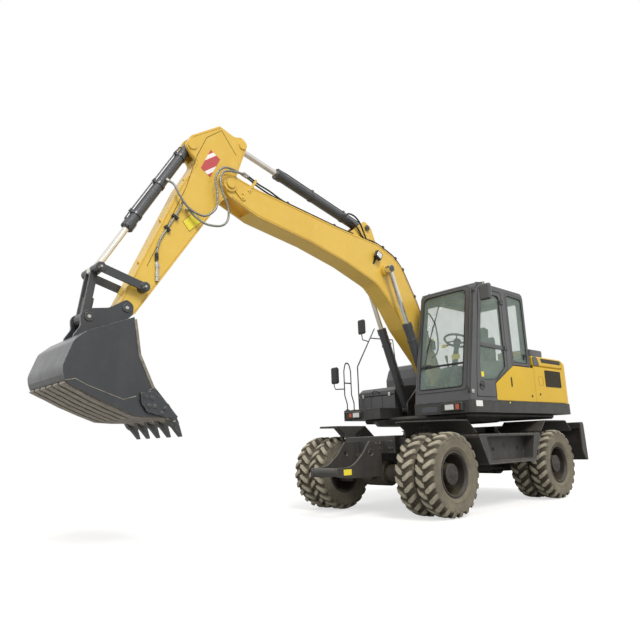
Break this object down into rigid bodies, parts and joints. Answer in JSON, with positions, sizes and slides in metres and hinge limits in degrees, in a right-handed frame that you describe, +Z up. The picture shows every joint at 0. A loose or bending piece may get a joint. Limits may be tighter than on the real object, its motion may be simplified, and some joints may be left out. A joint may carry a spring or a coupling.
{
  "type": "wheeled excavator",
  "caption": "Wheeled excavator with twin tyres: slewing cab and engine deck, one-piece boom, arm and toothed bucket worked by cylinders, and a raised rear dozer blade.",
  "frame": {"origin": "centre of the whole machine's bounding box in plan, on the ground", "axes": "+X forward along the boom, +Y to the machine's left, +Z up"},
  "size_m": [8.4002, 2.957, 4.8631],
  "materials": {
    "yellow_paint": "semi-gloss",
    "cylinder_paint": "satin",
    "chrome": "polished",
    "frame_paint": "worn satin",
    "bucket_paint": "worn satin",
    "cab_paint": "satin",
    "engine_grey": "raw",
    "glass": "clear green tint",
    "trim_plastic": "textured",
    "rim_paint": "satin",
    "seat_cloth": "woven",
    "rubber": "dusty",
    "deck_paint": "satin"
  },
  "bodies": {
    "arm": {"arm": "yellow_paint"},
    "arm_barrel": {"arm_barrel": "cylinder_paint"},
    "arm_rod": {"arm_rod": "chrome"},
    "blade": {"blade": "frame_paint"},
    "blade_barrel": {"blade_barrel": "cylinder_paint"},
    "blade_lower_arms": {"blade_lower_arms": "frame_paint"},
    "blade_rod": {"blade_rod": "chrome"},
    "blade_upper_arms": {"blade_upper_arm_left": "frame_paint", "blade_upper_arm_right": "frame_paint"},
    "boom": {"boom": "yellow_paint"},
    "boom_barrels": {"boom_barrel_left": "cylinder_paint", "boom_barrel_right": "cylinder_paint"},
    "boom_rods": {"boom_rod_left": "chrome", "boom_rod_right": "chrome"},
    "bucket": {"bucket": "bucket_paint"},
    "bucket_barrel": {"bucket_barrel": "cylinder_paint"},
    "bucket_link": {"bucket_link": "cylinder_paint"},
    "bucket_rod": {"bucket_rod": "chrome"},
    "upper": {"bulkhead": "cab_paint", "cab_shell": "cab_paint", "counterweight": "yellow_paint", "engine_block": "engine_grey", "glass_front": "glass", "glass_left": "glass", "glass_rear": "glass", "glass_right": "glass", "handrail": "trim_plastic", "mirror_post": "trim_plastic", "seat": "seat_cloth", "steering_column": "trim_plastic", "storage_box": "cab_paint", "tank": "cab_paint", "upper_frame": "deck_paint"},
    "cab_door": {"cab_door": "cab_paint", "glass_door": "glass"},
    "chassis": {"chassis_frame": "frame_paint", "front_axle": "frame_paint", "rear_axle": "frame_paint", "step_left": "frame_paint", "step_right": "frame_paint"},
    "engine_hood": {"engine_hood": "yellow_paint"},
    "grille_door_left": {"grille_door_left": "yellow_paint"},
    "grille_door_right": {"grille_door_right": "yellow_paint"},
    "idler_links": {"idler_links": "cylinder_paint"},
    "knuckle_left": {"knuckle_left": "frame_paint"},
    "knuckle_right": {"knuckle_right": "frame_paint"},
    "wheel_front_left": {"rims_front_left": "rim_paint", "tyres_front_left": "rubber"},
    "wheel_front_right": {"rims_front_right": "rim_paint", "tyres_front_right": "rubber"},
    "wheel_rear_left": {"rims_rear_left": "rim_paint", "tyres_rear_left": "rubber"},
    "wheel_rear_right": {"rims_rear_right": "rim_paint", "tyres_rear_right": "rubber"},
    "side_door_left": {"side_door_left": "yellow_paint"},
    "steering_rod": {"steering_rod": "chrome"},
    "storage_lid": {"storage_lid": "cab_paint"}
  },
  "joints": [
    {"name": "slew", "type": "hinge", "parent": "chassis", "child": "upper", "pos_m": [-1.70015, -0.0035, 1.18995], "axis": [0, 0, 1], "continuous": true},
    {"name": "steering_left", "type": "hinge", "parent": "chassis", "child": "knuckle_left", "pos_m": [-0.30015, 0.6965, 0.52495], "axis": [0, 0, 1], "range_deg": [-30, 30]},
    {"name": "steering_right", "type": "hinge", "parent": "chassis", "child": "knuckle_right", "pos_m": [-0.30015, -0.7035, 0.52495], "axis": [0, 0, 1], "range_deg": [-30.5, 30.5]},
    {"name": "steering_rod_slide", "type": "slide", "parent": "chassis", "child": "steering_rod", "axis": [0, 1, 0], "range_m": [-0.0946, 0.0946]},
    {"name": "wheel_front_left_spin", "type": "hinge", "parent": "knuckle_left", "child": "wheel_front_left", "pos_m": [-0.30015, 0.9735, 0.52495], "axis": [0, 1, 0], "continuous": true},
    {"name": "wheel_front_right_spin", "type": "hinge", "parent": "knuckle_right", "child": "wheel_front_right", "pos_m": [-0.30015, -0.9805, 0.52495], "axis": [0, 1, 0], "continuous": true},
    {"name": "wheel_rear_left_spin", "type": "hinge", "parent": "chassis", "child": "wheel_rear_left", "pos_m": [-3.10015, 0.9735, 0.52495], "axis": [0, 1, 0], "continuous": true},
    {"name": "wheel_rear_right_spin", "type": "hinge", "parent": "chassis", "child": "wheel_rear_right", "pos_m": [-3.10015, -0.9805, 0.52495], "axis": [0, 1, 0], "continuous": true},
    {"name": "boom_lift", "type": "hinge", "parent": "upper", "child": "boom", "pos_m": [-1.83915, -0.0735, 1.78995], "axis": [0, -1, 0], "range_deg": [-60, 34]},
    {"name": "boom_cylinder_swing", "type": "hinge", "parent": "upper", "child": "boom_barrels", "pos_m": [-1.36515, -0.0735, 1.44995], "axis": [0, -1, 0], "range_deg": [-62.03, 35.37]},
    {"name": "boom_cylinder_slide", "type": "slide", "parent": "boom_barrels", "child": "boom_rods", "axis": [0.3697, 0, 0.9291], "range_m": [-0.5782, 0.3289]},
    {"name": "arm_swing", "type": "hinge", "parent": "boom", "child": "arm", "pos_m": [2.25501, -0.0735, 4.10631], "axis": [0, 1, 0], "range_deg": [-58, 53]},
    {"name": "arm_cylinder_swing", "type": "hinge", "parent": "boom", "child": "arm_barrel", "pos_m": [-0.23841, -0.0735, 4.13919], "axis": [0, 1, 0], "range_deg": [-3.74, 4.05]},
    {"name": "arm_cylinder_slide", "type": "slide", "parent": "arm_barrel", "child": "arm_rod", "axis": [0.9689, 0, 0.2474], "range_m": [-0.5496, 0.5025]},
    {"name": "bucket_curl", "type": "hinge", "parent": "arm", "child": "bucket", "pos_m": [3.49481, -0.0735, 2.36817], "axis": [0, 1, 0], "range_deg": [-80, 90]},
    {"name": "idler_swing", "type": "hinge", "parent": "arm", "child": "idler_links", "pos_m": [3.32689, -0.0735, 2.60873], "axis": [0, 1, 0], "range_deg": [-56.05, 63]},
    {"name": "link_swing", "type": "hinge", "parent": "bucket", "child": "bucket_link", "pos_m": [3.86983, -0.0735, 2.23286], "axis": [0, 1, 0], "range_deg": [-47.48, 42.26]},
    {"name": "bucket_cylinder_swing", "type": "hinge", "parent": "arm", "child": "bucket_barrel", "pos_m": [2.75915, -0.0735, 4.47823], "axis": [0, 1, 0], "range_deg": [-2.05, 2.24]},
    {"name": "bucket_cylinder_slide", "type": "slide", "parent": "bucket_barrel", "child": "bucket_rod", "axis": [0.5128, 0, -0.8585], "range_m": [-0.4187, 0.4707]},
    {"name": "blade_lift", "type": "hinge", "parent": "chassis", "child": "blade_lower_arms", "pos_m": [-3.45015, -0.0035, 0.51995], "axis": [0, -1, 0], "range_deg": [0, 66]},
    {"name": "blade_level", "type": "hinge", "parent": "blade_lower_arms", "child": "blade", "pos_m": [-3.96445, -0.0035, 0.82897], "axis": [0, -1, 0], "range_deg": [-67, 1]},
    {"name": "blade_upper_arm_swing", "type": "hinge", "parent": "chassis", "child": "blade_upper_arms", "pos_m": [-3.45015, -0.0035, 0.75995], "axis": [0, -1, 0], "range_deg": [-1, 67]},
    {"name": "blade_cylinder_swing", "type": "hinge", "parent": "chassis", "child": "blade_barrel", "pos_m": [-3.30015, -0.0035, 1.09995], "axis": [0, -1, 0], "range_deg": [-0.5, 31.66]},
    {"name": "blade_cylinder_slide", "type": "slide", "parent": "blade_barrel", "child": "blade_rod", "axis": [-0.9208, 0, -0.3901], "range_m": [-0.003, 0.449]},
    {"name": "cab_door_hinge", "type": "hinge", "parent": "upper", "child": "cab_door", "pos_m": [-1.88315, 1.2328, 1.47025], "axis": [0, 0, 1], "range_deg": [0, 95]},
    {"name": "engine_hood_hinge", "type": "hinge", "parent": "upper", "child": "engine_hood", "pos_m": [-3.64985, -0.0035, 2.20495], "axis": [0, -1, 0], "range_deg": [0, 60]},
    {"name": "grille_door_left_hinge", "type": "hinge", "parent": "upper", "child": "grille_door_left", "pos_m": [-3.64985, 1.2185, 1.46995], "axis": [0, 0, 1], "range_deg": [0, 90]},
    {"name": "grille_door_right_hinge", "type": "hinge", "parent": "upper", "child": "grille_door_right", "pos_m": [-3.64985, -1.2255, 1.46995], "axis": [0, 0, -1], "range_deg": [0, 90]},
    {"name": "side_door_left_hinge", "type": "hinge", "parent": "upper", "child": "side_door_left", "pos_m": [-2.66015, 1.2185, 1.46995], "axis": [0, 0, 1], "range_deg": [0, 85]},
    {"name": "storage_lid_hinge", "type": "hinge", "parent": "upper", "child": "storage_lid", "pos_m": [-1.95015, -0.0035, 1.87995], "axis": [0, -1, 0], "range_deg": [0, 60]}
  ],
  "couplings": [
    {"joint": "steering_right", "follows": "steering_left", "ratio": 1},
    {"joint": "steering_rod_slide", "follows": "steering_left", "m_per_rad": -0.175},
    {"joint": "boom_cylinder_swing", "follows": "boom_lift", "ratio": 1.0256},
    {"joint": "boom_cylinder_slide", "follows": "boom_lift", "m_per_rad": 0.54927},
    {"joint": "arm_cylinder_swing", "follows": "arm_swing", "ratio": -0.06117},
    {"joint": "arm_cylinder_slide", "follows": "arm_swing", "m_per_rad": 0.54},
    {"joint": "idler_swing", "follows": "bucket_curl", "ratio": 0.69443},
    {"joint": "link_swing", "follows": "bucket_curl", "ratio": -0.522},
    {"joint": "bucket_cylinder_swing", "follows": "bucket_curl", "ratio": 0.01933},
    {"joint": "bucket_cylinder_slide", "follows": "bucket_curl", "m_per_rad": 0.29774},
    {"joint": "blade_level", "follows": "blade_lift", "ratio": -1},
    {"joint": "blade_upper_arm_swing", "follows": "blade_lift", "ratio": 1},
    {"joint": "blade_cylinder_swing", "follows": "blade_lift", "ratio": 0.47218},
    {"joint": "blade_cylinder_slide", "follows": "blade_lift", "m_per_rad": 0.38721}
  ]
}
